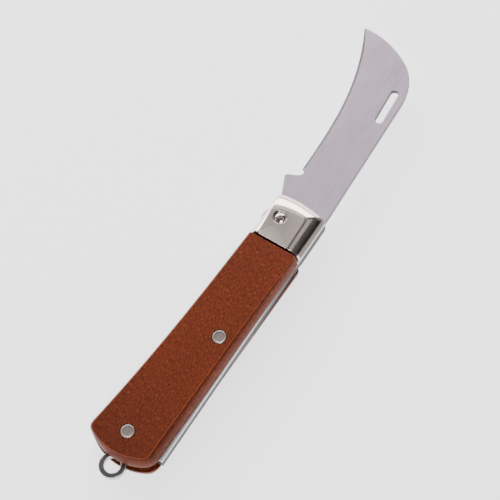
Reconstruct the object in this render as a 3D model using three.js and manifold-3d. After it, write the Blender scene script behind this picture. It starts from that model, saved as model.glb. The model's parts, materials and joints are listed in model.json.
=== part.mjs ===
// Folding grafting knife with a hawkbill blade, wooden scales and a slip-joint back spring.
//
// Millimetres. +X points from the handle to the blade's tip, +Z out of the near face, and the
// handle's straight back, the spring side, is on -Y, so the blade folds towards +Y.
// The knife is drawn about its pivot, with z = 0 half way between the liners. At the end the
// whole knife is moved so that its origin is under the middle of its bounding box.

import * as THREE from 'three';
import { mergeVertices } from 'three/addons/utils/BufferGeometryUtils.js';
import Module from 'manifold-3d';

const wasm = await Module();
wasm.setup();

// Handle, as heights above the middle plane.
const LINER_IN = 1.3; // inner face of a liner: the blade channel is 2.6 mm wide
const LINER_OUT = 2.5;
const SCALE_FACE = 8.0; // flat face of a wooden scale
const BOLSTER_FACE = 7.9;

// Handle, in plan.
const BACK_Y = -14.5; // straight back of the liners
const JOINT_X = -9.95; // rear end of the bolsters
const JOINT_GAP = 0.85; // between bolster and wood
const JOINT_FRONT_Y = 7.5;
const TAIL_X = -103.4; // rear end of liners and spring along the back

// Blade.
const BLADE_HALF = 1.2; // half its thickness
const SPINE_Y = -13.95;
const TANG_R = 8.5;
const SHOULDER_X = 7.9; // stop shoulder that meets the spring's nose
const TIP = [88.7, 18.1];
const EDGE_END = [24.1, 5.9]; // where the cutting edge meets the choil notch
const EDGE_Z = 0.8; // height of the cutting edge
const NEAR_BEVEL = { width: 1.0, face: BLADE_HALF };
const FAR_BEVEL = { width: 5.0, face: -BLADE_HALF };
const SLOT_FROM = [57.0, -8.4];
const SLOT_TO = [69.4, -7.6];
const SLOT_R = 1.6;

// Back spring: one bar, split at the lobe so that its front arm can lift.
const SPRING_HALF = 1.2;
const SPRING_BACK_Y = -14.3;
const SPRING_NOSE_X = 7.6;
const SPRING_BEARING_Y = -8.8; // face that bears on the tang
const SPRING_WAIST_Y = -9.6;
const SPRING_SPLIT_X = -56.8;
const SPRING_SPLIT_GAP = 0.5;
const LOBE_R = 3.9;

// Pins and rivets.
const RUNNING_GAP = 0.1; // all round a pin, in its hole
const PIVOT_R = 1.8;
const PIVOT_HEAD_R = 2.15;
const PIVOT_HEAD_FROM = 7.25;
const DIMPLE = { radius: 2.75, floorRadius: 2.35, floor: 7.2 };
const MID_RIVET = [-52.9, -7.2];
const END_RIVET = [-101.3, 1.2];
const RIVET_R = 1.5;
const RIVET_CORE_R = 0.95; // the solid half's nose, inside the hollow half
const RIVET_HEAD_R = 2.65;
const RIVET_HEAD_FROM = 6.8;
const RIVET_HEAD_TOP = 7.95;
const RIVET_DISH = 0.2;
const TAIL_PIN = [-97.0, -11.9];
const BOLSTER_PINS = [[-6.8, -6.4], [3.2, -5.6]];
const PIN_R = 1.0;
const BOLSTER_PIN_TOP = 5.4;

// Lanyard link.
const LINK_HALF = 1.2;
const RING = [-113.5, 0.9];
const RING_R = 5.2;
const RING_HOLE_R = 3.15;
const EYE_R = 4.0;
const NECK_HALF = 2.4;

const ROUND = 24; // sides of a pin or a hole
const CURVE = 10; // steps along each curve of an outline

// ---------------------------------------------------------------- materials

const finish = (color, roughness, metalness = 1) => () =>
  new THREE.MeshStandardMaterial({ color, roughness, metalness });

const bladeSteel = finish(0xa9a5ab, 0.42);
const springSteel = finish(0x8d9094, 0.38);
const linerSteel = finish(0xc3c6c9, 0.3);
const bolsterSteel = finish(0xd2cfca, 0.18);
const rivetSteel = finish(0xa39c96, 0.35);
const linkSteel = finish(0x6a6468, 0.4);
const lacqueredWood = finish(0x7c351c, 0.5, 0);

// ---------------------------------------------------------------- solids

// A closed body through rings that each have the same number of points. Seen from the last
// ring's side, each ring runs anticlockwise.
function loft(rings, caps) {
  const sides = rings[0].length;
  const last = (rings.length - 1) * sides;
  const index = [];
  for (let start = 0; start < last; start += sides) {
    for (let side = 0; side < sides; side++) {
      const a = start + side;
      const b = start + ((side + 1) % sides);
      index.push(a, b, b + sides, a, b + sides, a + sides);
    }
  }
  for (const [a, b, c] of caps) {
    index.push(a, c, b, last + a, last + b, last + c);
  }
  const geometry = new THREE.BufferGeometry().setFromPoints(rings.flat());
  return geometry.setIndex(index);
}

// A body whose plan changes with height. Its levels are [plan, z], from the bottom up.
function layered(levels) {
  const rings = levels.map(([plan, z]) => plan.map(({ x, y }) => new THREE.Vector3(x, y, z)));
  return loft(rings, THREE.ShapeUtils.triangulateShape(levels[0][0], []));
}

// A flat plate between two heights.
function plate(shape, from, to) {
  const options = { depth: to - from, bevelEnabled: false, curveSegments: CURVE };
  return new THREE.ExtrudeGeometry(shape, options).translate(0, 0, from);
}

// A body of revolution about Z. Its profile is [radius, z] pairs that start and end on the axis
// or close on themselves.
function turned(profile) {
  const points = profile.map(([radius, z]) => new THREE.Vector2(radius, z));
  return new THREE.LatheGeometry(points, ROUND).rotateX(Math.PI / 2);
}

// A round bar along Z, centred on (x, y).
function bar(radius, from, to, [x, y] = [0, 0]) {
  return turned([[0, from], [radius, from], [radius, to], [0, to]]).translate(x, y, 0);
}

// The same body on the other side of the middle plane.
function mirrored(geometry) {
  const copy = merged(geometry).scale(1, 1, -1);
  const index = copy.index.array;
  for (let i = 0; i < index.length; i += 3) {
    [index[i], index[i + 1]] = [index[i + 1], index[i]];
  }
  return copy;
}

// ---------------------------------------------------------------- joining and cutting

function merged(geometry) {
  const copy = geometry.clone();
  copy.deleteAttribute('normal');
  copy.deleteAttribute('uv');
  return mergeVertices(copy, 1e-4);
}

function solid(geometry) {
  const shared = merged(geometry);
  return new wasm.Manifold(new wasm.Mesh({
    numProp: 3,
    vertProperties: new Float32Array(shared.attributes.position.array),
    triVerts: new Uint32Array(shared.index.array),
  }));
}

function cut(geometry, ...tools) {
  const rest = tools.reduce((left, tool) => left.subtract(solid(tool)), solid(geometry));
  const { vertProperties, triVerts } = rest.getMesh();
  const result = new THREE.BufferGeometry();
  result.setAttribute('position', new THREE.BufferAttribute(vertProperties, 3));
  return result.setIndex(new THREE.BufferAttribute(triVerts, 1));
}

// A running hole right through everything at a place.
function hole(radius, at) {
  return bar(radius + RUNNING_GAP, -SCALE_FACE - 1, SCALE_FACE + 1, at);
}

// ---------------------------------------------------------------- blade

function cuttingEdge() {
  const tip = new THREE.Vector2(...TIP);
  const end = new THREE.Vector2(...EDGE_END);
  return new THREE.CubicBezierCurve(
    tip, new THREE.Vector2(66.8, 6.7), new THREE.Vector2(48.3, 5.8), end);
}

function bladeShape() {
  const shape = new THREE.Shape();
  shape.moveTo(0, -TANG_R);
  shape.lineTo(SHOULDER_X, -TANG_R);
  shape.lineTo(SHOULDER_X, SPINE_Y);
  shape.lineTo(14, SPINE_Y);
  shape.bezierCurveTo(30.7, -13.25, 47.3, -13.1, 64, -12.45);
  shape.bezierCurveTo(71.4, -12.35, 78.3, -11, 82.7, -4.4); // drop of the back
  shape.bezierCurveTo(87, 2.2, 89.4, 10.2, ...TIP); // round nose
  shape.curves.push(cuttingEdge());
  shape.currentPoint.set(...EDGE_END);
  shape.quadraticCurveTo(23.9, 4.5, 22.4, 4.5); // choil notch
  shape.quadraticCurveTo(21.4, 4.8, 20.6, 6.2);
  shape.lineTo(19.1, 9.6);
  shape.quadraticCurveTo(18.7, 10.5, 17.8, 10.1); // kick
  shape.lineTo(11, 7);
  shape.quadraticCurveTo(8.4, 6.2, TANG_R * Math.cos(1.1), TANG_R * Math.sin(1.1));
  shape.absarc(0, 0, TANG_R, 1.1, 1.5 * Math.PI, false); // round of the tang
  return shape;
}

function slotShape() {
  const from = new THREE.Vector2(...SLOT_FROM);
  const to = new THREE.Vector2(...SLOT_TO);
  const tilt = to.clone().sub(from).angle();
  const shape = new THREE.Shape();
  shape.absarc(from.x, from.y, SLOT_R, tilt + Math.PI / 2, tilt + 1.5 * Math.PI, false);
  shape.absarc(to.x, to.y, SLOT_R, tilt - Math.PI / 2, tilt + Math.PI / 2, false);
  return shape;
}

// What a grinding wheel takes off one face along the cutting edge: a three-sided bar whose
// slanting side runs from the edge to a line on the face.
function grind({ width, face }) {
  const edge = cuttingEdge();
  const slope = (face - EDGE_Z) / width;
  const over = Math.sign(face) * 0.1;
  const section = [[1, EDGE_Z - slope], [1, face + over], [-width - over / slope, face + over]];
  if (face > 0) section.reverse();
  const steps = 24;
  const rings = [];
  for (let step = -1; step <= steps; step++) {
    const t = Math.max(step, 0) / steps;
    const along = edge.getTangent(t);
    const at = edge.getPoint(t).addScaledVector(along, step < 0 ? -4 : 0);
    rings.push(section.map(([out, z]) =>
      new THREE.Vector3(at.x + along.y * out, at.y - along.x * out, z)));
  }
  return loft(rings, [[0, 1, 2]]);
}

function blade() {
  return cut(
    plate(bladeShape(), -BLADE_HALF, BLADE_HALF),
    hole(PIVOT_R, [0, 0]),
    plate(slotShape(), -2, 2),
    grind(NEAR_BEVEL),
    grind(FAR_BEVEL));
}

// ---------------------------------------------------------------- back spring

function springArm() {
  const [x, y] = MID_RIVET;
  const shape = new THREE.Shape();
  shape.moveTo(SPRING_SPLIT_X, SPRING_BACK_Y);
  shape.lineTo(SPRING_NOSE_X, SPRING_BACK_Y);
  shape.lineTo(SPRING_NOSE_X, SPRING_BEARING_Y);
  shape.lineTo(-8, SPRING_BEARING_Y);
  shape.quadraticCurveTo(-14, SPRING_BEARING_Y, -20, SPRING_WAIST_Y);
  shape.lineTo(-43, SPRING_WAIST_Y);
  shape.quadraticCurveTo(-47.5, SPRING_WAIST_Y, x + LOBE_R * Math.cos(0.5),
    y + LOBE_R * Math.sin(0.5));
  shape.absarc(x, y, LOBE_R, 0.5, Math.PI, false);
  return cut(plate(shape, -SPRING_HALF, SPRING_HALF), hole(RIVET_R, MID_RIVET));
}

function springTail() {
  const shape = new THREE.Shape();
  shape.moveTo(TAIL_X, SPRING_BACK_Y);
  shape.lineTo(SPRING_SPLIT_X - SPRING_SPLIT_GAP, SPRING_BACK_Y);
  shape.lineTo(SPRING_SPLIT_X - SPRING_SPLIT_GAP, SPRING_WAIST_Y);
  shape.lineTo(TAIL_X + 2, SPRING_WAIST_Y);
  shape.quadraticCurveTo(TAIL_X, SPRING_WAIST_Y, TAIL_X, SPRING_WAIST_Y - 2);
  return cut(plate(shape, -SPRING_HALF, SPRING_HALF), hole(PIN_R, TAIL_PIN));
}

// ---------------------------------------------------------------- handle

// Foot of a bolster, from its back round the front end to its front side.
function bolsterFoot() {
  const path = new THREE.Path();
  path.moveTo(JOINT_X, BACK_Y);
  path.lineTo(7.4, BACK_Y);
  path.quadraticCurveTo(8.9, BACK_Y, 9.2, -12.9);
  path.quadraticCurveTo(11.5, -2.5, 10.1, 5.3);
  path.quadraticCurveTo(9.8, 6.7, 8.0, 6.7);
  path.lineTo(JOINT_X, JOINT_FRONT_Y);
  return path;
}

// Its flat top, drawn with the same steps.
function bolsterTop() {
  const path = new THREE.Path();
  path.moveTo(JOINT_X, -9.1);
  path.lineTo(2.9, -8.7);
  path.quadraticCurveTo(3.9, -8.6, 3.9, -7.6);
  path.quadraticCurveTo(4.3, 0.3, 1.7, 4.0);
  path.quadraticCurveTo(1.4, 4.7, 0.6, 4.7);
  path.lineTo(JOINT_X, 3.6);
  return path;
}

function bolster() {
  const foot = bolsterFoot().getPoints(CURVE);
  const top = bolsterTop().getPoints(CURVE);
  const steps = 6;
  const arc = 1.25; // radians of the shoulder's round, which leaves a soft crease at the top
  const levels = [];
  for (let step = 0; step <= steps; step++) {
    const turn = (arc * step) / steps;
    const inwards = (1 - Math.cos(turn)) / (1 - Math.cos(arc));
    const height = Math.sin(turn) / Math.sin(arc);
    levels.push([
      foot.map((point, i) => point.clone().lerp(top[i], inwards)),
      LINER_OUT + (BOLSTER_FACE - LINER_OUT) * height,
    ]);
  }
  const { radius, floorRadius, floor } = DIMPLE;
  const dimple = turned([[0, floor], [floorRadius, floor], [radius, BOLSTER_FACE],
    [radius, BOLSTER_FACE + 1], [0, BOLSTER_FACE + 1]]);
  const pinHoles = BOLSTER_PINS.map((at) =>
    bar(PIN_R + RUNNING_GAP, LINER_OUT - 1, BOLSTER_PIN_TOP + RUNNING_GAP, at));
  return cut(layered(levels), dimple, hole(PIVOT_R, [0, 0]), ...pinHoles);
}

// Foot of a wooden scale, from its front side round the butt to its back. The back stands proud
// of the liners at the bolster and behind them at the butt.
function woodFoot() {
  const path = new THREE.Path();
  path.moveTo(JOINT_X - JOINT_GAP, 7.7);
  path.bezierCurveTo(-41.9, 9.2, -73.1, 11.3, -104, 15.7);
  path.quadraticCurveTo(-106.4, 16, -107.3, 14);
  path.bezierCurveTo(-112.2, 7.6, -112.6, -2, -109.7, -8.4);
  path.quadraticCurveTo(-107.8, -13.3, -103, -13.4);
  path.lineTo(-60, -14.1);
  path.quadraticCurveTo(-36, -14.7, -13, -15);
  path.quadraticCurveTo(-11.1, -15, JOINT_X - JOINT_GAP, -14.2);
  return path;
}

// Its flat face, drawn with the same steps.
function woodFace() {
  const path = new THREE.Path();
  path.moveTo(JOINT_X - JOINT_GAP, 6.1);
  path.bezierCurveTo(-42, 7.6, -73, 9.7, -103.3, 13.9);
  path.quadraticCurveTo(-106.3, 14.5, -107.3, 12.9);
  path.bezierCurveTo(-110.3, 7.4, -111.9, -1, -107.3, -9.2);
  path.quadraticCurveTo(-106.5, -10.7, -104.9, -10.8);
  path.lineTo(-60, -11.8);
  path.quadraticCurveTo(-38, -12.2, -14, -13.5);
  path.quadraticCurveTo(-11.6, -13.6, JOINT_X - JOINT_GAP, -13.2);
  return path;
}

function scale() {
  const foot = woodFoot().getPoints(CURVE);
  const face = woodFace().getPoints(CURVE);
  const side = [[0, LINER_OUT], [0.05, 3.9], [0.22, 5.9], [0.5, 7.15], [1, SCALE_FACE]];
  const body = layered(side.map(([inwards, z]) =>
    [foot.map((point, i) => point.clone().lerp(face[i], inwards)), z]));
  const seats = [MID_RIVET, END_RIVET].map((at) =>
    bar(RIVET_HEAD_R + RUNNING_GAP, RIVET_HEAD_FROM - 0.05, SCALE_FACE + 1, at));
  return cut(body, hole(RIVET_R, MID_RIVET), hole(RIVET_R, END_RIVET), ...seats);
}

function linerShape() {
  const shape = new THREE.Shape();
  shape.curves.push(...bolsterFoot().curves);
  shape.currentPoint.set(JOINT_X, JOINT_FRONT_Y);
  shape.bezierCurveTo(-41.9, 8.8, -73.1, 10.9, -102.5, 14.8);
  shape.quadraticCurveTo(-104.2, 14.8, -104.8, 12.9);
  shape.bezierCurveTo(-108.6, 7.5, -108.9, -1, -106.3, -7.5);
  shape.lineTo(TAIL_X, -10.5);
  shape.lineTo(TAIL_X, BACK_Y);
  return shape;
}

function liner() {
  const pins = [TAIL_PIN, ...BOLSTER_PINS].map((at) => hole(PIN_R, at));
  const rivets = [MID_RIVET, END_RIVET].map((at) => hole(RIVET_R, at));
  return cut(plate(linerShape(), LINER_IN, LINER_OUT), hole(PIVOT_R, [0, 0]), ...rivets, ...pins);
}

// ---------------------------------------------------------------- pins and rivets

// The shank has a dome at each end, which stands in the bolster's dimple.
function pivotRivet() {
  const steps = 6;
  const dome = [];
  for (let step = 0; step <= steps; step++) {
    const turn = (Math.PI / 2) * (step / steps);
    dome.push([PIVOT_HEAD_R * Math.cos(turn),
      PIVOT_HEAD_FROM + (BOLSTER_FACE - PIVOT_HEAD_FROM) * Math.sin(turn)]);
  }
  dome[steps][0] = 0;
  const near = [[PIVOT_R, PIVOT_HEAD_FROM], ...dome];
  const far = near.map(([radius, z]) => [radius, -z]).reverse();
  return turned([...far, ...near]);
}

// Hollow half of a two-piece rivet: a dished head on a tube.
function rivetCap() {
  const bottom = -1.9;
  return turned([
    [0, RIVET_HEAD_FROM - 0.8], [RIVET_CORE_R + RUNNING_GAP, RIVET_HEAD_FROM - 0.8],
    [RIVET_CORE_R + RUNNING_GAP, bottom], [RIVET_R, bottom], [RIVET_R, RIVET_HEAD_FROM],
    [RIVET_HEAD_R, RIVET_HEAD_FROM], [RIVET_HEAD_R, RIVET_HEAD_TOP - 0.15],
    [RIVET_HEAD_R - 0.15, RIVET_HEAD_TOP], [RIVET_HEAD_R - 0.6, RIVET_HEAD_TOP],
    [RIVET_HEAD_R - 0.8, RIVET_HEAD_TOP - RIVET_DISH], [0, RIVET_HEAD_TOP - RIVET_DISH],
  ]);
}

// Solid half, from the far side, whose nose goes up the tube.
function rivetPost() {
  return turned([
    [0, -RIVET_HEAD_TOP + RIVET_DISH], [RIVET_HEAD_R - 0.8, -RIVET_HEAD_TOP + RIVET_DISH],
    [RIVET_HEAD_R - 0.6, -RIVET_HEAD_TOP], [RIVET_HEAD_R - 0.15, -RIVET_HEAD_TOP],
    [RIVET_HEAD_R, -RIVET_HEAD_TOP + 0.15], [RIVET_HEAD_R, -RIVET_HEAD_FROM],
    [RIVET_R, -RIVET_HEAD_FROM], [RIVET_R, -2], [RIVET_CORE_R, -2], [RIVET_CORE_R, 5.6],
    [0, 5.6],
  ]);
}

const tailPin = () => bar(PIN_R, -LINER_OUT, LINER_OUT);
const bolsterPin = () => bar(PIN_R, LINER_IN, BOLSTER_PIN_TOP);

// ---------------------------------------------------------------- lanyard link

// An eye about the origin, round the end rivet, and a ring beyond the butt.
function lanyardLink() {
  const [x, y] = [RING[0] - END_RIVET[0], RING[1] - END_RIVET[1]];
  const eyeTurn = Math.asin(NECK_HALF / EYE_R);
  const ringTurn = Math.asin(NECK_HALF / RING_R);
  const shape = new THREE.Shape();
  shape.absarc(0, 0, EYE_R, eyeTurn - Math.PI, Math.PI - eyeTurn, false);
  shape.absarc(x, y, RING_R, ringTurn, 2 * Math.PI - ringTurn, false);
  return cut(
    plate(shape, -LINK_HALF, LINK_HALF),
    bar(RIVET_R + RUNNING_GAP, -2, 2),
    bar(RING_HOLE_R, -2, 2, [x, y]));
}

// ---------------------------------------------------------------- assembly

function node(name, geometry, material, [x, y] = [0, 0]) {
  const mesh = new THREE.Mesh(geometry, material());
  mesh.name = name;
  mesh.position.set(x, y, 0);
  return mesh;
}

function group(...children) {
  return new THREE.Group().add(...children);
}

function pair(name, geometry, material) {
  return [node(`${name}_near`, geometry, material),
    node(`${name}_far`, mirrored(geometry), material)];
}

const spring = group(
  node('spring_arm', springArm(), springSteel),
  node('spring_tail', springTail(), springSteel));

const covers = group(
  ...pair('liner', liner(), linerSteel),
  ...pair('bolster', bolster(), bolsterSteel),
  ...pair('scale', scale(), lacqueredWood));

const fasteners = group(
  node('pivot_rivet', pivotRivet(), bolsterSteel),
  node('mid_rivet_cap', rivetCap(), rivetSteel, MID_RIVET),
  node('mid_rivet_post', rivetPost(), rivetSteel, MID_RIVET),
  node('end_rivet_cap', rivetCap(), rivetSteel, END_RIVET),
  node('end_rivet_post', rivetPost(), rivetSteel, END_RIVET),
  node('tail_pin', tailPin(), springSteel, TAIL_PIN),
  ...BOLSTER_PINS.flatMap((at, i) => [
    node(`bolster_pin_near_${i + 1}`, bolsterPin(), linerSteel, at),
    node(`bolster_pin_far_${i + 1}`, mirrored(bolsterPin()), linerSteel, at)]));

const knife = group(
  node('blade', blade(), bladeSteel),
  node('lanyard_link', lanyardLink(), linkSteel, END_RIVET),
  spring, covers, fasteners);

const box = new THREE.Box3().setFromObject(knife);
knife.position.set(-(box.min.x + box.max.x) / 2, -(box.min.y + box.max.y) / 2, -box.min.z);

export default group(knife);
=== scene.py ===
"""Looks of a folding grafting knife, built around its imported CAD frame.

Outlines are drawn in millimetres about the knife's pivot, with z = 0 half way between the
liners, and are placed in the frame's metres. +X points to the blade's tip, +Z out of the near
face, and the handle's straight back is on -Y.
"""

import json
import math

import bmesh
import bpy
from mathutils import Matrix, Vector

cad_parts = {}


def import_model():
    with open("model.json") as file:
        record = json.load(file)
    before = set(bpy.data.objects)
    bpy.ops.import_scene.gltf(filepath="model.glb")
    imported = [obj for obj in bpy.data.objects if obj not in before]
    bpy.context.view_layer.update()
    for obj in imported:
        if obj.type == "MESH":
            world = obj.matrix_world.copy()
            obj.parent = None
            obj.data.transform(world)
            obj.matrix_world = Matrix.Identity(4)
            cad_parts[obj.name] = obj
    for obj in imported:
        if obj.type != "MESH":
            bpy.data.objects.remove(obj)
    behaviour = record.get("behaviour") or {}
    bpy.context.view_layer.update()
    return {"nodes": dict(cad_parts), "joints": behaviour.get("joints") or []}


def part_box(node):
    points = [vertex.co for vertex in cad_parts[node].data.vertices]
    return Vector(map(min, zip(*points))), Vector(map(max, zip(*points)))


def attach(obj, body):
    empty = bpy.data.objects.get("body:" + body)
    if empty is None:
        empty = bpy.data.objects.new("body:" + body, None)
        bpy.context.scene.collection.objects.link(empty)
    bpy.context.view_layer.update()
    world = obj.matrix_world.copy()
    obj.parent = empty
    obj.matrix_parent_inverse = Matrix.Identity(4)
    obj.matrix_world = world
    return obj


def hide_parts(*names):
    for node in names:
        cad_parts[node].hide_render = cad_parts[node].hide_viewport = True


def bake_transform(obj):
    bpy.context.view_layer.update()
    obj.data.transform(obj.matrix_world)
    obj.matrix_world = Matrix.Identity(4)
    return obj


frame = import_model()

MM = 0.001
JOINTS = {joint["name"]: joint for joint in frame["joints"]}
PIVOT = Vector(JOINTS["blade_fold"]["pos_m"])


def about_pivot(point):
    """A point of the frame, in millimetres about the pivot."""
    return (Vector(point) - PIVOT) / MM


def box_mm(node):
    """Lowest and highest corner of a CAD node, in millimetres about the pivot."""
    low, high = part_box(node)
    return about_pivot(low), about_pivot(high)


# Handle, as heights above the middle plane and places in plan.
LINER_LOW, LINER_HIGH = box_mm("liner_near")
SCALE_HIGH = box_mm("scale_near")[1]
BOLSTER_LOW, BOLSTER_HIGH = box_mm("bolster_near")
LINER_IN, LINER_OUT = LINER_LOW.z, LINER_HIGH.z
SCALE_FACE = SCALE_HIGH.z
BOLSTER_FACE = BOLSTER_HIGH.z
BACK_Y = LINER_LOW.y
BACK_FROM_Y = -13.0  # a cover's side is on the handle's back where its foot is below this
JOINT_X = BOLSTER_LOW.x
WOOD_X = SCALE_HIGH.x
JOINT_FRONT_Y = 7.5
SHOULDER_ARC = 1.25  # radians that a cover's side turns from its foot to its crease
FRONT_ARC = 0.22  # how much further a bolster's side turns round its front and open side
FRONT_FADE = 1.6  # millimetres from the back over which that comes in
TAIL_X = box_mm("spring_tail")[0].x

# Blade.
BLADE_HALF = box_mm("blade")[1].z
SPINE_Y = -13.95
TANG_R = 8.5
TANG_FROM = 1.1  # angle in radians at which the heel runs into the round tang
SHOULDER_X = 7.9
TIP = (88.7, 18.1)
EDGE_END = (24.1, 5.9)
EDGE_Z = 0.8
NEAR_BEVEL = 1.0
FAR_BEVEL = 5.0
BLADE_ROUNDING = 0.14
SLOT_FROM = Vector((57.0, -8.4))
SLOT_TO = Vector((69.4, -7.6))
SLOT_R = 1.6
SLOT_RIM = 0.15

# Spring, rivets and link.
SPRING_HALF = box_mm("spring_arm")[1].z
SPRING_BACK_Y = box_mm("spring_arm")[0].y
SPRING_NOSE_X = box_mm("spring_arm")[1].x
SPRING_BEARING_Y = -8.8
SPRING_WAIST_Y = -9.6
LOBE_R = 3.9
LOBE_FROM = 0.5  # angle in radians at which the lobe round the rivet starts
MID_RIVET = about_pivot(JOINTS["spring_lift"]["pos_m"]).xy
END_RIVET = about_pivot(JOINTS["lanyard_swing"]["pos_m"]).xy
RIVET_R = 1.5
RIVET_CORE_R = 0.95
RIVET_HEAD_R = 2.65
RIVET_HEAD_FROM = 6.8
RIVET_HEAD_TOP = box_mm("mid_rivet_cap")[1].z
CAP_DEPTH = 0.8  # solid metal under a cap's head, above its bore
CAP_END = -1.9
POST_SHOULDER = -2.0
POST_END = 5.6
PIVOT_R = 1.8
PIVOT_HEAD_R = 2.15
PIVOT_HEAD_FROM = 7.25
DIMPLE_R = 2.8
DIMPLE_FLOOR = 7.2
LINK_HALF = box_mm("lanyard_link")[1].z
RING = Vector((-113.5, 0.9))
RING_R = 5.2
RING_HOLE_R = 3.15
EYE_R = 4.0
NECK_HALF = 2.4
HOLE_GAP = 0.1
NEAR_AXIS = 0.02  # radius at which a turned body is capped
SAME_POINT = 1e-5  # points of an outline that are closer than this are one

# Wear, from -1 to 1. Below 0 it is a dull film on the bolsters' top and dimple, and painted
# shade on the blade's edge, bevel and slot, the far liner's edge, the rivet seats, the joint,
# the covers' feet and the bolsters' crease along the back, the wood just below its crease, and
# the pivot's crowns. Above 0 it is bright, rubbed metal and pale, rubbed wood, and also a painted
# highlight on the near liner's edge, the link's edges and the wood's crease.
FILM = -0.4
DIMPLE_FILM = FILM * 1.4
# Painted shade on a cover's end where it faces the joint.
JOINT_SHADE = -0.8


# ---------------------------------------------------------------- outlines


def bezier(hull, t):
    """The point at t of the Bezier curve with these control points."""
    while len(hull) > 1:
        hull = [a.lerp(b, t) for a, b in zip(hull, hull[1:])]
    return hull[0]


class Pen:
    """Draws an outline in plan. Every stretch gets count steps, or steps of about step mm."""

    def __init__(self, x, y, step=0.5, count=None):
        self.points = [Vector((x, y))]
        self.step = step
        self.count = count

    def to(self, *controls):
        """On to the last control: straight, or by a Bezier curve if there are more."""
        hull = [self.points[-1], *map(Vector, controls)]
        length = sum((b - a).length for a, b in zip(hull, hull[1:]))
        count = self.count or max(1, math.ceil(length / self.step))
        self.points += [bezier(hull, (i + 1) / count) for i in range(count)]
        return self

    def arc(self, centre, radius, start, end):
        """Round a centre from one angle to another, in radians. It starts with a straight
        step, unless the pen is there already."""
        count = max(6, math.ceil(abs(end - start) * radius / self.step))
        points = ring(centre, radius, count, start, end)
        there = (points[0] - self.points[-1]).length < SAME_POINT
        self.points += points[1:] if there else points
        return self

    def closed(self):
        """The outline as a loop, without a second copy of its first point."""
        if (self.points[0] - self.points[-1]).length < SAME_POINT:
            self.points.pop()
        return self.points


def on_circle(centre, radius, angle):
    """The point of a circle at an angle in radians."""
    return Vector((centre[0] + radius * math.cos(angle), centre[1] + radius * math.sin(angle)))


def ring(centre, radius, count=48, start=0.0, end=2 * math.pi):
    """Points round an arc. A whole turn leaves out its last point, which is its first."""
    whole = abs(end - start - 2 * math.pi) < 1e-9
    steps = count if whole else count - 1
    turns = [start + (end - start) * i / steps for i in range(count)]
    return [on_circle(centre, radius, turn) for turn in turns]


def inwards(points, distance):
    """A closed outline moved inwards. distance is a number, or one for each point."""
    area = sum(a.cross(b) for a, b in zip(points, points[1:] + points[:1]))
    side = math.copysign(1, area)
    amounts = distance if isinstance(distance, list) else [distance] * len(points)
    moved = []
    for i, amount in enumerate(amounts):
        before = (points[i] - points[i - 1]).normalized()
        after = (points[(i + 1) % len(points)] - points[i]).normalized()
        normal = Vector((-before.y - after.y, before.x + after.x)) * side
        mitre = normal / max(normal.length_squared / 2, 0.6)
        moved.append(points[i] + mitre * amount)
    return moved


# ---------------------------------------------------------------- meshes


def fill(bm, loops):
    """Triangles over the flat space between the loops."""
    edges = []
    for loop in loops:
        for i, index in enumerate(loop):
            pair = bm.verts[loop[i - 1]], bm.verts[index]
            edges.append(bm.edges.get(pair) or bm.edges.new(pair))
    bmesh.ops.triangle_fill(bm, edges=edges, use_beauty=True, normal=(0, 0, 1))


class Skin:
    """A closed surface made of loops of points that are bridged and capped."""

    def __init__(self):
        self.points = []
        self.wear_and_light = []
        self.faces = []
        self.caps = []

    def loop(self, plan, height, wear_and_light=0.0):
        """height and wear are numbers, or one for each point."""
        first = len(self.points)
        heights = height if isinstance(height, list) else [height] * len(plan)
        wears = wear_and_light if isinstance(wear_and_light, list) else [wear_and_light] * len(plan)
        self.points += [(p[0], p[1], z) for p, z in zip(plan, heights)]
        self.wear_and_light += wears
        return list(range(first, len(self.points)))

    def bridge(self, *loops):
        """Walls from each loop to the next. The loops have as many points as each other."""
        for low, high in zip(loops, loops[1:]):
            for i in range(len(low)):
                j = (i + 1) % len(low)
                self.faces.append((low[i], low[j], high[j], high[i]))

    def cap(self, outer, *holes):
        """A flat end inside the loop outer, less the loops of its holes."""
        self.caps.append((outer, *holes))

    def mirror(self):
        """Moves the surface over to the other side of the middle plane."""
        self.points = [(x, y, -z) for x, y, z in self.points]

    def build(self, name, material, sharp=40):
        """The surface as an object, smooth except where it turns by more than sharp degrees."""
        bm = bmesh.new()
        for x, y, z in self.points:
            bm.verts.new(PIVOT + Vector((x, y, z)) * MM)
        bm.verts.ensure_lookup_table()
        for face in self.faces:
            bm.faces.new([bm.verts[i] for i in face])
        for loops in self.caps:
            fill(bm, loops)
        bmesh.ops.recalc_face_normals(bm, faces=bm.faces)
        mesh = bpy.data.meshes.new(name)
        bm.to_mesh(mesh)
        bm.free()
        mesh.attributes.new("wear_and_light", "FLOAT", "POINT").data.foreach_set("value", self.wear_and_light)
        mesh.shade_smooth()
        mesh.set_sharp_from_angle(angle=math.radians(sharp))
        mesh.materials.append(material)
        piece = bpy.data.objects.new(name, mesh)
        bpy.context.scene.collection.objects.link(piece)
        weighting = piece.modifiers.new("weighted_normals", "WEIGHTED_NORMAL")
        weighting.keep_sharp = True
        return piece


def plate(outline, low, high, edge, holes, wear_and_light):
    """A flat plate whose edges are rounded by edge and have this wear. holes are outlines."""
    skin = Skin()
    rounds = 3
    turns = [math.pi / 2 * i / rounds for i in range(rounds + 1)]
    steps = [(edge * (1 - math.sin(a)), low + edge * (1 - math.cos(a))) for a in turns]
    steps += [(edge * (1 - math.cos(a)), high - edge * (1 - math.sin(a))) for a in turns]
    last = len(steps) - 1
    caps = [[], []]
    for loop_of_plate, sign in [(outline, 1), *[(hole, -1) for hole in holes]]:
        loops = [skin.loop(inwards(loop_of_plate, sign * by), z,
                           0.0 if i in (0, last) else wear_and_light)
                 for i, (by, z) in enumerate(steps)]
        skin.bridge(*loops)
        caps[0].append(loops[0])
        caps[1].append(loops[-1])
    skin.cap(*caps[0])
    skin.cap(*caps[1])
    return skin


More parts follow.
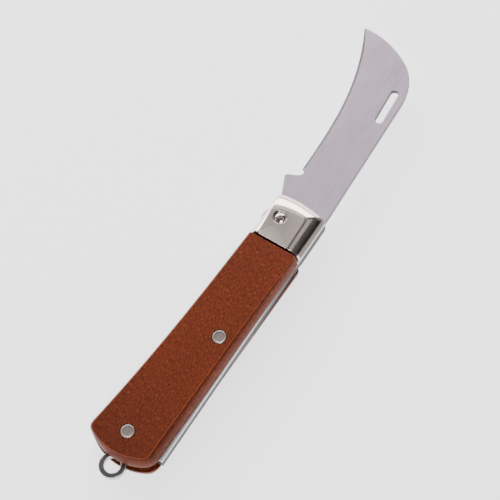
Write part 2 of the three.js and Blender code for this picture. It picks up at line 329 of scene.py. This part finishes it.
def turned(profile, centre):
    """A body of revolution. profile is (radius, z, wear), from one end near the axis to the
    other."""
    skin = Skin()
    loops = [skin.loop(ring(centre, radius, 64), z, wear_and_light) for radius, z, wear_and_light in profile]
    skin.bridge(*loops)
    skin.cap(loops[0])
    skin.cap(loops[-1])
    return skin


def show(piece, body, slot, *nodes):
    """A finished piece rides on a body and stands for its CAD nodes."""
    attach(piece, body)
    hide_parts(*nodes)


# ---------------------------------------------------------------- materials


class Shader:
    """A Principled material and short ways to add nodes to it. settings are inputs of its
    surface, with _ for each space."""

    def __init__(self, name, **settings):
        self.material = bpy.data.materials.new(name)
        self.material.use_nodes = True
        self.tree = self.material.node_tree
        self.surface = self.tree.nodes["Principled BSDF"]
        for socket, value in settings.items():
            self.surface.inputs[socket.replace("_", " ")].default_value = value

    def add(self, kind, settings=None, **inputs):
        """A node. Inputs are numbers, tuples or other nodes' outputs. They go by name, or as
        i0, i1 and so on by number."""
        node = self.tree.nodes.new(kind)
        for key, value in (settings or {}).items():
            setattr(node, key, value)
        for key, value in inputs.items():
            socket = node.inputs[int(key[1:]) if key[0] == "i" and key[1:].isdigit()
                                 else key.replace("_", " ")]
            if isinstance(value, bpy.types.NodeSocket):
                self.tree.links.new(value, socket)
            else:
                socket.default_value = value
        return node.outputs[0]

    def set(self, socket, value):
        """Feeds an output into the surface."""
        self.tree.links.new(value, self.surface.inputs[socket])

    def place(self, x, y, z):
        """Object coordinates, in metres, scaled to cells per metre along each axis."""
        node = self.tree.nodes.new("ShaderNodeTexCoord")
        return self.add("ShaderNodeVectorMath", {"operation": "MULTIPLY"},
                        i0=node.outputs["Object"], i1=(x, y, z))

    def along_x(self):
        """How far along X a point lies, in metres."""
        node = self.tree.nodes.new("ShaderNodeTexCoord")
        return self.add("ShaderNodeSeparateXYZ", Vector=node.outputs["Object"])

    def noise(self, vector, detail, roughness=0.5):
        return self.add("ShaderNodeTexNoise", Vector=vector, Scale=1.0, Detail=detail,
                        Roughness=roughness)

    def ramp(self, value, *stops):
        """A colour ramp through (position, grey or colour) stops."""
        node = self.tree.nodes.new("ShaderNodeValToRGB")
        elements = node.color_ramp.elements
        while len(elements) < len(stops):
            elements.new(0.5)
        for element, (position, colour) in zip(elements, stops):
            grey = not isinstance(colour, tuple)
            element.position = position
            element.color = (colour, colour, colour, 1) if grey else (*colour, 1)
        self.tree.links.new(value, node.inputs[0])
        return node.outputs[0]

    def span(self, value, low, high, start=0.0, stop=1.0):
        """A value that goes from start to stop, spread over low to high."""
        return self.add("ShaderNodeMapRange", i0=value, i1=start, i2=stop, i3=low, i4=high)

    def mix(self, factor, first, second, how="MIX"):
        """Two colours mixed. The factor is an output, and counts as 0 where it is less."""
        node = self.tree.nodes.new("ShaderNodeMix")
        node.data_type = "RGBA"
        node.blend_type = how
        self.tree.links.new(factor, node.inputs[0])
        for index, colour in ((6, first), (7, second)):
            if isinstance(colour, bpy.types.NodeSocket):
                self.tree.links.new(colour, node.inputs[index])
            else:
                node.inputs[index].default_value = (*colour, 1)
        return node.outputs[2]

    def maths(self, operation, first, second):
        return self.add("ShaderNodeMath", {"operation": operation}, i0=first, i1=second)

    def wear_and_light(self):
        node = self.tree.nodes.new("ShaderNodeAttribute")
        node.attribute_name = "wear_and_light"
        return node.outputs["Fac"]

    def dirt_and_shade(self):
        """Wear below 0, as an amount above 0: a dull film, and painted shade."""
        return self.maths("MULTIPLY", self.wear_and_light(), -1)

    def bump(self, height, distance, strength=1.0):
        out = self.add("ShaderNodeBump", Height=height, Distance=distance, Strength=strength)
        self.set("Normal", out)


# Dark grey that paints shade on steel where wear is below 0.
PAINTED_SHADE = (0.05, 0.045, 0.045)


def shade(colour, factor):
    """A colour made darker or lighter."""
    return tuple(channel * factor for channel in colour)


def brushed(name, colour, worn_and_lit, roughness, grain, metallic=1.0):
    """Ground steel: lines along X, cloudy roughness, rubbed edges that are brighter, in places as
    painted highlights, and painted shade where wear is below 0. grain is lines per metre across
    the grain."""
    look = Shader(name, Metallic=metallic)
    lines = look.noise(look.place(grain * 0.02, grain, grain), detail=3.0, roughness=0.6)
    scratches = look.noise(look.place(grain * 0.01, grain * 0.16, grain * 0.16), detail=3.0)
    cloud = look.noise(look.place(60, 110, 110), detail=3.0, roughness=0.55)
    tone = look.mix(look.span(cloud, 0.0, 1.0, 0.3, 0.7), colour, shade(colour, 0.84))
    tone = look.mix(look.span(scratches, 0.0, 1.0, 0.35, 0.65), tone, shade(colour, 0.76))
    tone = look.mix(look.span(lines, 0.0, 0.6, 0.3, 0.7), tone, shade(colour, 0.72))
    # Wear above 0 brightens rubbed edges, and paints the highlights on the near liner's edge and
    # the link.
    tone = look.mix(look.wear_and_light(), tone, worn_and_lit)
    # Wear below 0 paints shade with the dark grey.
    look.set("Base Color", look.mix(look.dirt_and_shade(), tone, PAINTED_SHADE))
    rough = look.maths("ADD", look.span(cloud, roughness - 0.05, roughness + 0.05, 0.3, 0.7),
                       look.span(lines, -0.05, 0.05, 0.3, 0.7))
    rough = look.maths("SUBTRACT", rough, look.maths("MULTIPLY", look.wear_and_light(), 0.1))
    look.set("Roughness", rough)
    look.bump(lines, 5e-6)
    return look.material


def polished(name, colour, film_and_shade, roughness):
    """Polished steel with hairline marks. Where wear is below 0 a film of handling dulls it, and
    the same dull colour paints shade and dark reflections at the back's crease and foot, the joint
    and the pivot's crowns.
    """
    look = Shader(name, Metallic=1.0)
    cloud = look.noise(look.place(160, 160, 160), detail=4.0, roughness=0.6)
    hairs = look.noise(look.place(250, 5200, 5200), detail=2.0, roughness=0.5)
    smears = look.noise(look.place(200, 700, 700), detail=3.0, roughness=0.6)
    tone = look.mix(look.span(cloud, 0.0, 1.0, 0.3, 0.7), colour, shade(colour, 0.88))
    # The dull colour is the handling film, and also painted shade and dark reflections.
    dull = look.mix(look.span(smears, 0.0, 1.0, 0.3, 0.7), film_and_shade, shade(film_and_shade, 0.8))
    look.set("Base Color", look.mix(look.dirt_and_shade(), tone, dull))
    rough = look.maths("ADD", look.span(cloud, roughness * 0.7, roughness * 1.3, 0.3, 0.7),
                       look.span(hairs, -0.02, 0.04, 0.3, 0.7))
    look.set("Roughness", rough)
    look.bump(hairs, 2e-6)
    return look.material


def lacquered_wood():
    """Reddish-brown hardwood under thin lacquer, with short flecks of grain along X. It is
    darker towards the butt."""
    look = Shader("lacquered_wood", Coat_Weight=0.04, Coat_Roughness=0.3, Specular_IOR_Level=0.15)
    flecks = look.noise(look.place(700, 2500, 2500), detail=4.0, roughness=0.7)
    broad = look.noise(look.place(35, 150, 150), detail=3.0, roughness=0.5)
    fibres = look.noise(look.place(700, 4200, 4200), detail=3.0, roughness=0.7)
    pores = look.noise(look.place(900, 4500, 4500), detail=1.0, roughness=0.4)
    tone = look.ramp(flecks, (0.34, (0.048, 0.005, 0.002)), (0.46, (0.166, 0.026, 0.005)),
                     (0.54, (0.198, 0.033, 0.007)), (0.66, (0.370, 0.080, 0.019)))
    tone = look.mix(look.span(broad, -0.3, 1.2), tone, (0.80, 0.72, 0.66), "MULTIPLY")
    tone = look.mix(look.span(fibres, 0.0, 0.9), tone, (0.74, 0.66, 0.60), "MULTIPLY")
    butt = look.span(look.along_x(), 1.0, 0.0, PIVOT.x - 106 * MM, PIVOT.x - 70 * MM)
    tone = look.mix(butt, tone, (0.76, 0.77, 0.70), "MULTIPLY")
    pits = look.ramp(pores, (0.30, 1.0), (0.36, 0.0))
    tone = look.mix(look.maths("MULTIPLY", pits, 0.7), tone, (0.07, 0.010, 0.004))
    # Wear above 0 pales the wood, partly a painted highlight; below 0 the dark colour is painted
    # shade.
    tone = look.mix(look.maths("MULTIPLY", look.wear_and_light(), 0.85), tone, (0.42, 0.12, 0.055))
    look.set("Base Color", look.mix(look.dirt_and_shade(), tone, (0.03, 0.006, 0.003)))
    look.set("Roughness", look.span(fibres, 0.45, 0.6))
    look.bump(look.maths("SUBTRACT", look.maths("MULTIPLY", fibres, 0.4), pits), 1.2e-5, 0.6)
    return look.material


BLADE_STEEL = brushed("blade_steel", (0.80, 0.67, 0.79), (0.88, 0.82, 0.86), 0.34, 9000)
# The spring's steel is very dark, partly its own colour and partly painted shade on its back.
SPRING_STEEL = brushed("spring_steel", (0.06, 0.063, 0.073), (0.16, 0.165, 0.18), 0.33, 6000)
LINER_STEEL = brushed("liner_steel", (0.74, 0.75, 0.77), (0.92, 0.93, 0.94), 0.36, 6000, 0.2)
RIVET_STEEL = brushed("rivet_steel", (0.35, 0.29, 0.265), (0.56, 0.50, 0.47), 0.38, 5000)
LINK_STEEL = brushed("link_steel", (0.175, 0.155, 0.16), (0.50, 0.48, 0.48), 0.38, 5000)
BOLSTER_STEEL = polished("bolster_steel", (0.93, 0.79, 0.72), (0.15, 0.125, 0.115), 0.16)
WOOD = lacquered_wood()


# ---------------------------------------------------------------- blade


def blade_outline():
    """The outline, and the first point and the number of points of its cutting edge."""
    back = Pen(0, -TANG_R).to((SHOULDER_X, -TANG_R)).to((SHOULDER_X, SPINE_Y))
    back.to((14, SPINE_Y)).to((30.7, -13.25), (47.3, -13.1), (64, -12.45))
    back.to((71.4, -12.35), (78.3, -11), (82.7, -4.4)).to((87, 2.2), (89.38, 10.2), TIP)
    edge = Pen(*TIP).to((66.8, 6.7), (48.3, 5.8), EDGE_END)
    heel = Pen(*EDGE_END, step=0.25).to((23.9, 4.5), (22.4, 4.5))
    heel.to((21.4, 4.8), (20.6, 6.2)).to((19.1, 9.6)).to((18.7, 10.5), (17.8, 10.1))
    heel.to((11, 7)).to((8.4, 6.2), on_circle((0, 0), TANG_R, TANG_FROM))
    heel.arc((0, 0), TANG_R, TANG_FROM, 1.5 * math.pi)
    points = back.points + edge.points[1:] + heel.points[1:-1]
    return points, len(back.points), len(edge.points) - 1


def blade_bevels(count, first, steps):
    """Width of the bevel at each point of the outline, as a share of its full width."""
    runout = 16  # steps from the tip over which the bevel grows to its full width
    share = [0.0] * count
    for i in range(steps - 1):
        share[first + i] = min(1.0, (i + 1) / runout) ** 0.7
    return share


def slot_outline():
    """A straight slot with round ends."""
    tilt = (SLOT_TO - SLOT_FROM).to_2d().angle_signed(Vector((1, 0)))
    return (ring(SLOT_FROM, SLOT_R, 24, tilt + math.pi / 2, tilt + 1.5 * math.pi)
            + ring(SLOT_TO, SLOT_R, 24, tilt - math.pi / 2, tilt + math.pi / 2))


def blade():
    """A ground plate with a wide bevel on its far face and a narrow one on its near face."""
    outline, first, steps = blade_outline()
    share = blade_bevels(len(outline), first, steps)
    skin = Skin()

    def level(bevel, rounding, height, edge_height, wear_and_light):
        """A loop round the blade, whose cutting edge lies bevel inwards at edge_height."""
        amounts = [rounding + (bevel - rounding) * part for part in share]
        heights = [height + (edge_height - height) * min(1, 3 * part) for part in share]
        return skin.loop(inwards(outline, amounts), heights, wear_and_light)

    low, high, soft = -BLADE_HALF, BLADE_HALF, BLADE_ROUNDING
    # Wear below 0 paints shade on the cutting edge and the near bevel.
    loops = [
        level(FAR_BEVEL, soft, low, low, 0.0),
        level(FAR_BEVEL * 0.04, soft * 0.3, low + soft * 0.3, EDGE_Z - 0.1, 0.3),
        level(0.0, 0.0, low + soft, EDGE_Z - 0.03, -0.45),
        level(0.0, 0.0, high - soft, EDGE_Z + 0.03, -0.94),
        level(NEAR_BEVEL * 0.5, soft * 0.3, high - soft * 0.3, EDGE_Z + 0.2, -0.9),
        level(NEAR_BEVEL * 0.96, soft * 0.8, high, high - 0.01, -0.83),
        level(NEAR_BEVEL, soft, high, high, 0.0),
    ]
    skin.bridge(*loops)
    caps = [[loops[0]], [loops[-1]]]
    slot, rim = slot_outline(), SLOT_RIM
    # The slot's walls are painted with shade.
    slot_wall = [skin.loop(inwards(slot, -rim), low), skin.loop(slot, low + rim, -1.0),
                 skin.loop(slot, high - rim, -1.0), skin.loop(inwards(slot, -rim), high)]
    bore = ring((0, 0), PIVOT_R + HOLE_GAP)
    bore_wall = [skin.loop(bore, low), skin.loop(bore, high)]
    for wall in (slot_wall, bore_wall):
        skin.bridge(*wall)
        caps[0].append(wall[0])
        caps[1].append(wall[-1])
    skin.cap(*caps[0])
    skin.cap(*caps[1])
    show(skin.build("blade_skin", BLADE_STEEL, 25), "blade", "blade_steel", "blade")


# ---------------------------------------------------------------- back spring


def back_spring():
    """One bar from the tang to the butt."""
    x, y = MID_RIVET
    pen = Pen(TAIL_X, SPRING_BACK_Y, step=0.8).to((SPRING_NOSE_X, SPRING_BACK_Y))
    pen.to((SPRING_NOSE_X, SPRING_BEARING_Y)).to((-8, SPRING_BEARING_Y))
    pen.to((-14, SPRING_BEARING_Y), (-20, SPRING_WAIST_Y)).to((-43, SPRING_WAIST_Y))
    pen.to((-47.5, SPRING_WAIST_Y), on_circle(MID_RIVET, LOBE_R, LOBE_FROM))
    pen.arc(MID_RIVET, LOBE_R, LOBE_FROM, math.pi - LOBE_FROM)
    pen.to((x - 5.4, SPRING_WAIST_Y), (x - 9.9, SPRING_WAIST_Y))
    pen.to((TAIL_X + 2, SPRING_WAIST_Y)).to((TAIL_X, SPRING_WAIST_Y), (TAIL_X, SPRING_WAIST_Y - 2))
    pen.to((TAIL_X, SPRING_BACK_Y))
    hole = ring(MID_RIVET, RIVET_R + HOLE_GAP)
    skin = plate(pen.closed(), -SPRING_HALF, SPRING_HALF, 0.12, [hole], wear_and_light=0.3)
    piece = skin.build("back_spring", SPRING_STEEL)
    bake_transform(piece)
    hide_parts("spring_arm", "spring_tail")


# ---------------------------------------------------------------- handle


def bolster_foot(count=None):
    """From the joint along the back, round the front and along the open side to the joint."""
    pen = Pen(JOINT_X, BACK_Y, count=count).to((7.4, BACK_Y)).to((8.9, BACK_Y), (9.2, -12.9))
    pen.to((11.5, -2.5), (10.1, 5.3)).to((9.8, 6.7), (8.0, 6.7))
    return pen.to((JOINT_X, JOINT_FRONT_Y))


def bolster_top():
    """The same way round the flat top."""
    pen = Pen(JOINT_X, -9.1, count=14).to((2.9, -8.7)).to((3.9, -8.6), (3.9, -7.6))
    pen.to((4.3, 0.3), (1.7, 4.0)).to((1.4, 4.7), (0.6, 4.7))
    return pen.to((JOINT_X, 3.6))


def shoulder(arc, crisp):
    """A rounded side from its foot, upright, to a flat top, as (inset, rise, wear). Inset and
    rise go from 0 to 1. The side turns by arc, in radians, and leaves a crease at the top,
    which is rounded, and carries wear, over what crisp leaves of the arc. On the wood that wear
    is also a painted highlight, and along a bolster's back it becomes painted shade."""
    steps, rounds = 12, 5
    section = []
    for i in range(steps + 1):
        turn = arc * crisp * i / steps
        section.append(((1 - math.cos(turn)) / (1 - math.cos(arc)),
                        math.sin(turn) / math.sin(arc), 0.0))
    hull = [Vector(section[-1][:2]), Vector((0.985, 1.0)), Vector((1.02, 1.0))]
    for i in range(rounds):
        t = (i + 1) / rounds
        section.append((*bezier(hull, t), math.sin(math.pi * t)))
    return section


def back_wear_and_shade(wear_and_light, rise, crease, under, foot_shade):
    """The wear of a cover's side along the handle's back, with painted shade. crease multiplies
    the wear of the crease at the top; above 0 that is also a painted highlight, and below 0 it is
    painted shade. under is painted shade just below the crease, and the last setting is painted
    shade along the foot."""
    wear_and_light = wear_and_light * crease - under * max(0, 1 - abs(rise - 0.88) / 0.1)
    return wear_and_light - foot_shade * min(1, max(0, 4.5 - 6 * rise))


class Cover:
    """The walls of a bolster or scale, from its foot on the liner to its flat top.

    foot and top are outlines that go from the joint between the two covers round to the
    joint again, and sections holds the shoulder at each of their points. high is the height of
    the top, and flat is its wear. The end at the joint is rounded over by lip, and painted with
    shade where it faces the joint. back holds the settings for the wear and painted shade along
    the handle's back."""

    TURNS = [math.pi / 2, math.pi / 3, math.pi / 6, 0]

    def __init__(self, foot, top, high, sections, lip, flat, back):
        self.foot = foot
        self.top = top
        self.height = high - LINER_OUT
        self.sections = sections
        self.lip = lip
        self.flat = flat
        self.back = back
        self.end = foot[0].x
        self.into = math.copysign(1, foot[1].x - self.end)
        self.middle = (foot[0].y + foot[-1].y) / 2
        self.reach = abs(foot[0].y - self.middle)

    def corner(self, i, level, turn):
        """A point of the rounded end, at end i of the foot, as (x, y, z, wear)."""
        inset, rise, wear_and_light = self.sections[i][level]
        shrink = self.lip * (1 - math.cos(turn))
        y = self.foot[i].lerp(self.top[i], inset).y
        # The end's face towards the joint is painted with shade.
        return (self.end + self.into * self.lip * (1 - math.sin(turn)),
                self.middle + (y - self.middle) * (1 - shrink / self.reach),
                LINER_OUT + (self.height - shrink) * rise,
                wear_and_light if turn < math.pi / 2 else JOINT_SHADE)

    def side(self, i, level):
        """A point of the wall between the ends, as (x, y, z, wear)."""
        inset, rise, wear_and_light = self.sections[i][level]
        x, y = self.foot[i].lerp(self.top[i], inset)
        if self.foot[i].y < BACK_FROM_Y:
            wear_and_light = back_wear_and_shade(wear_and_light, rise, *self.back)
        return x, y, LINER_OUT + self.height * rise, (wear_and_light if inset < 1 else self.flat)

    def points(self, level):
        """All the points at one level of the sections, from one end round to the other."""
        last = len(self.foot) - 1
        kept = [i for i in range(1, last)
                if min(abs(self.foot[i].x - self.end), abs(self.top[i].x - self.end)) > self.lip]
        return ([self.corner(0, level, turn) for turn in self.TURNS]
                + [self.side(i, level) for i in kept]
                + [self.corner(last, level, turn) for turn in reversed(self.TURNS)])

    def walls(self, skin):
        """Gives a skin the walls and the flat foot, and returns the rim of the flat top."""
        loops = []
        for level in range(len(self.sections[0])):
            points = self.points(level)
            loops.append(skin.loop([p[:2] for p in points], [p[2] for p in points],
                                   [p[3] for p in points]))
        skin.bridge(*loops)
        skin.cap(loops[0])
        # Strips across the top close the rounded end.
        rim = loops[-1]
        rounds = len(self.TURNS) - 1
        for k in range(rounds):
            skin.faces.append((rim[k], rim[k + 1], rim[-2 - k], rim[-1 - k]))
        return rim[rounds:-rounds]


def bolster(side):
    """A shell with a flat top, a dimple and shoulders that are rounder away from the back."""
    skin = Skin()
    foot, top = bolster_foot(count=14).points, bolster_top().points
    arcs = [SHOULDER_ARC + FRONT_ARC * min(1, (point.y - BACK_Y) / FRONT_FADE) for point in foot]
    sections = [shoulder(arc, 0.87) for arc in arcs]
    # Along the back the crease is painted dark and the foot painted with shade.
    cover = Cover(foot, top, BOLSTER_FACE, sections, lip=0.5, flat=FILM, back=(-0.8, 0.0, 1.0))
    face = cover.walls(skin)
    # How far each ring of the dimple is outside its radius, and its height.
    profile = [(0.2, BOLSTER_FACE), (0.1, BOLSTER_FACE - 0.015), (0.0, BOLSTER_FACE - 0.06),
               (-0.15, 7.72), (-0.3, 7.5), (-0.45, 7.32), (-0.6, 7.22), (-0.7, DIMPLE_FLOOR),
               (-2.5, DIMPLE_FLOOR)]
    dimple = [skin.loop(ring((0, 0), DIMPLE_R + out), z, DIMPLE_FILM) for out, z in profile]
    skin.bridge(*dimple)
    skin.cap(face, dimple[0])
    skin.cap(dimple[-1])
    if side == "far":
        skin.mirror()
    node = f"bolster_{side}"
    show(skin.build(node + "_skin", BOLSTER_STEEL, 30), "handle", "bolster_steel", node)


def wood_foot():
    """From the joint along the open side, round the butt and along the back to the joint."""
    pen = Pen(WOOD_X, 7.7, count=16).to((-41.9, 9.2), (-73.1, 11.3), (-104, 15.7))
    pen.to((-106.4, 16), (-107.3, 14)).to((-112.2, 7.6), (-112.6, -2), (-109.7, -8.4))
    pen.to((-107.8, -13.3), (-103, -13.4)).to((-60, -14.1)).to((-36, -14.7), (-13, -15))
    return pen.to((-11.1, -15), (WOOD_X, -14.2)).points


def wood_face():
    """The same way round the flat face."""
    pen = Pen(WOOD_X, 6.1, count=16).to((-42, 7.6), (-73, 9.7), (-103.3, 13.9))
    pen.to((-106.3, 14.5), (-107.3, 12.9)).to((-110.3, 7.4), (-111.9, -1), (-107.3, -9.2))
    pen.to((-106.5, -10.7), (-104.9, -10.8)).to((-60, -11.8)).to((-38, -12.2), (-14, -13.5))
    return pen.to((-11.6, -13.6), (WOOD_X, -13.2)).points


def rivet_seat(skin, centre):
    """A round recess for a rivet's head, with painted shade round its rim and down its wall."""
    radius = RIVET_HEAD_R + HOLE_GAP
    wall = [skin.loop(ring(centre, radius + 0.3), SCALE_FACE),
            skin.loop(ring(centre, radius + 0.08), SCALE_FACE, -0.6),
            skin.loop(ring(centre, radius), SCALE_FACE - 0.1, -1.0),
            skin.loop(ring(centre, radius), RIVET_HEAD_FROM - 0.05, -1.0)]
    skin.bridge(*wall)
    skin.cap(wall[-1])
    return wall[0]


def scale(side):
    """A wooden cover: rounded sides, a crisp edge rubbed pale, partly as a painted highlight, and
    a flat face with rivet seats.
    """
    skin = Skin()
    foot = wood_foot()
    sections = [shoulder(SHOULDER_ARC, 0.94)] * len(foot)
    # Along the back: a pale crease, partly a painted highlight, painted shade just below it and a
    # little along the foot.
    cover = Cover(foot, wood_face(), SCALE_FACE, sections, lip=0.35, flat=0.0,
                  back=(1.0, 0.4, 0.2))
    face = cover.walls(skin)
    skin.cap(face, *[rivet_seat(skin, centre) for centre in (MID_RIVET, END_RIVET)])
    if side == "far":
        skin.mirror()
    node = f"scale_{side}"
    show(skin.build(node + "_skin", WOOD, 22), "handle", "wood", node)


def liner_outline():
    """Along the bolster's foot, and on along the open side, round the butt and up the back."""
    pen = bolster_foot().to((-41.9, 8.8), (-73.1, 10.9), (-102.5, 14.8))
    pen.to((-104.2, 14.8), (-104.8, 12.9)).to((-108.6, 7.5), (-108.9, -1), (-106.3, -7.5))
    return pen.to((TAIL_X, -10.5)).to((TAIL_X, BACK_Y)).to((JOINT_X, BACK_Y)).closed()


def liner(side):
    """A steel plate between a cover and the spring. The near one's edge is painted bright as a
    highlight, and the far one's edge dark as shade."""
    holes = [ring((0, 0), PIVOT_R + HOLE_GAP), ring(MID_RIVET, RIVET_R + HOLE_GAP),
             ring(END_RIVET, RIVET_R + HOLE_GAP)]
    # Painted highlight on the near liner's edge, painted shade on the far one's.
    wear_and_light = 0.8 if side == "near" else -0.88
    skin = plate(liner_outline(), LINER_IN, LINER_OUT, 0.3, holes, wear_and_light)
    if side == "far":
        skin.mirror()
    node = f"liner_{side}"
    show(skin.build(node + "_skin", LINER_STEEL), "handle", "liner_steel", node)


# ---------------------------------------------------------------- rivets and link


def pivot_rivet():
    """The shank with its two domes, each darkened towards its crown as a painted dark reflection.
    """
    steps = 12
    height = BOLSTER_FACE - PIVOT_HEAD_FROM
    ball = (PIVOT_HEAD_R ** 2 + height ** 2) / (2 * height)
    near = [(PIVOT_R, PIVOT_HEAD_FROM, 0)]
    for i in range(steps + 1):
        radius = max(PIVOT_HEAD_R * (1 - i / steps), NEAR_AXIS)
        z = BOLSTER_FACE - ball + math.sqrt(ball ** 2 - radius ** 2)
        # Painted dark reflection, growing towards the crown.
        near.append((radius, z, -i / steps))
    far = [(radius, -z, wear_and_light) for radius, z, wear_and_light in reversed(near)]
    skin = turned(far + near, (0, 0))
    show(skin.build("pivot_rivet_skin", BOLSTER_STEEL), "handle", "bolster_steel", "pivot_rivet")


def rivet_head(r, top):
    """Profile of a head from its underside to its middle: a bright rim round a dull dish."""
    return [(r, RIVET_HEAD_FROM, 0.2), (r, top - 0.2, 0.3), (r - 0.06, top - 0.08, 0.8),
            (r - 0.18, top - 0.01, 1), (r - 0.3, top, 1), (r - 0.45, top - 0.02, 0.6),
            (r - 0.65, top - 0.1, 0.1), (r - 0.95, top - 0.13, 0), (0.3, top - 0.13, 0),
            (NEAR_AXIS, top - 0.13, 0)]


def rivet(name, centre):
    """A cap with the near head and a bore, and a post with the far head that fills the bore."""
    head = rivet_head(RIVET_HEAD_R, RIVET_HEAD_TOP)
    far_head = [(radius, -z, wear_and_light) for radius, z, wear_and_light in reversed(head)]
    bore_r = RIVET_CORE_R + HOLE_GAP
    bore_top = RIVET_HEAD_FROM - CAP_DEPTH
    cap = [(NEAR_AXIS, bore_top, 0), (bore_r, bore_top, 0), (bore_r, CAP_END, 0),
           (RIVET_R, CAP_END, 0), (RIVET_R, RIVET_HEAD_FROM, 0), *head]
    post = [*far_head, (RIVET_R, -RIVET_HEAD_FROM, 0), (RIVET_R, POST_SHOULDER, 0),
            (RIVET_CORE_R, POST_SHOULDER, 0), (RIVET_CORE_R, POST_END, 0),
            (NEAR_AXIS, POST_END, 0)]
    for half, profile in (("cap", cap), ("post", post)):
        node = f"{name}_{half}"
        piece = turned(profile, centre).build(node + "_skin", RIVET_STEEL)
        show(piece, "handle", "rivet_steel", node)


def lanyard_link():
    """A flat eye round the end rivet, a neck and a ring outside the butt."""
    eye_turn = math.pi - math.asin(NECK_HALF / EYE_R)
    ring_turn = math.asin(NECK_HALF / RING_R)
    pen = Pen(*on_circle(END_RIVET, EYE_R, -eye_turn), step=0.3)
    pen.arc(END_RIVET, EYE_R, -eye_turn, eye_turn)
    pen.arc(RING, RING_R, ring_turn, 2 * math.pi - ring_turn)
    holes = [ring(END_RIVET, RIVET_R + HOLE_GAP), ring(RING, RING_HOLE_R)]
    # The edges are rubbed bright, which also paints the ring's highlight.
    skin = plate(pen.closed(), -LINK_HALF, LINK_HALF, 0.4, holes, wear_and_light=1.0)
    piece = skin.build("lanyard_link_skin", LINK_STEEL)
    show(piece, "lanyard", "link_steel", "lanyard_link")


# ---------------------------------------------------------------- stage


def direction(azimuth, elevation):
    """Which way a point lies from the knife. Angles are in degrees, and +X is azimuth 0."""
    turn, rise = math.radians(azimuth), math.radians(elevation)
    return Vector((math.cos(turn) * math.cos(rise), math.sin(turn) * math.cos(rise),
                   math.sin(rise)))


def camera():
    """Looks down on the knife from behind its back, tilted 25 degrees from straight above."""
    away = direction(225, 65)
    roll = math.radians(-13)
    distance = 0.878
    aim = PIVOT + Vector((-14.8, 4.9, 0)) * MM
    data = bpy.data.cameras.new("camera")
    data.sensor_width = 36.0
    data.lens = 166.2
    eye = bpy.data.objects.new("camera", data)
    turn = (-away).to_track_quat("-Z", "Y").to_matrix() @ Matrix.Rotation(roll, 3, "Z")
    eye.matrix_world = Matrix.LocRotScale(aim + away * distance, turn.to_quaternion(), None)
    bpy.context.scene.collection.objects.link(eye)
    bpy.context.scene.camera = eye


def floor():
    """A pale matt plane that glows, so that shadows on it stay faint."""
    bm = bmesh.new()
    bmesh.ops.create_grid(bm, x_segments=1, y_segments=1, size=2.5)
    mesh = bpy.data.meshes.new("floor")
    bm.to_mesh(mesh)
    bm.free()
    look = Shader("floor_paint", Base_Color=(0.9, 0.9, 0.9, 1), Roughness=0.9,
                  Emission_Color=(1, 1, 1, 1), Emission_Strength=1.7)
    mesh.materials.append(look.material)
    plane = bpy.data.objects.new("floor", mesh)
    bpy.context.scene.collection.objects.link(plane)


def softbox(name, azimuth, elevation, size, radiance):
    """A flat white light 1.5 m from the knife that faces it."""
    away = direction(azimuth, elevation)
    data = bpy.data.lights.new(name, "AREA")
    data.shape = "RECTANGLE"
    data.size, data.size_y = size
    data.energy = radiance * math.pi * size[0] * size[1]
    light = bpy.data.objects.new(name, data)
    turn = (-away).to_track_quat("-Z", "Y")
    light.matrix_world = Matrix.LocRotScale(away * 1.5, turn, None)
    bpy.context.scene.collection.objects.link(light)


def world():
    """Dim grey all round."""
    sky = bpy.data.worlds.new("world")
    sky.use_nodes = True
    sky.node_tree.nodes["Background"].inputs[0].default_value = (1, 1, 1, 1)
    sky.node_tree.nodes["Background"].inputs[1].default_value = 0.08
    bpy.context.scene.world = sky


def lights():
    """A strong low light that faces the camera, a small bright one behind it, and fills."""
    softbox("key", 42, 26, (2.3, 0.9), 6.5)
    softbox("ceiling", 45, 66, (1.3, 1.0), 0.8)
    softbox("top", 225, 60, (0.5, 0.4), 12.0)
    softbox("fill", 190, 24, (1.8, 0.5), 2.5)
    softbox("strip", 305, 59, (1.1, 0.4), 0.48)
    softbox("left", 135, 22, (2.0, 0.9), 1.5)
    softbox("right", 332, 12, (1.4, 0.5), 0.8)


def hidden_pins():
    """The CAD pins inside the handle keep their shape and get a better material."""
    for node in ("tail_pin", "bolster_pin_near_1", "bolster_pin_near_2",
                 "bolster_pin_far_1", "bolster_pin_far_2"):
        pin = frame["nodes"][node]
        pin.data.materials.clear()
        pin.data.materials.append(SPRING_STEEL)


camera()
floor()
world()
lights()

blade()
back_spring()
for side in ("near", "far"):
    bolster(side)
    scale(side)
    liner(side)
pivot_rivet()
rivet("mid_rivet", MID_RIVET)
rivet("end_rivet", END_RIVET)
lanyard_link()
hidden_pins()
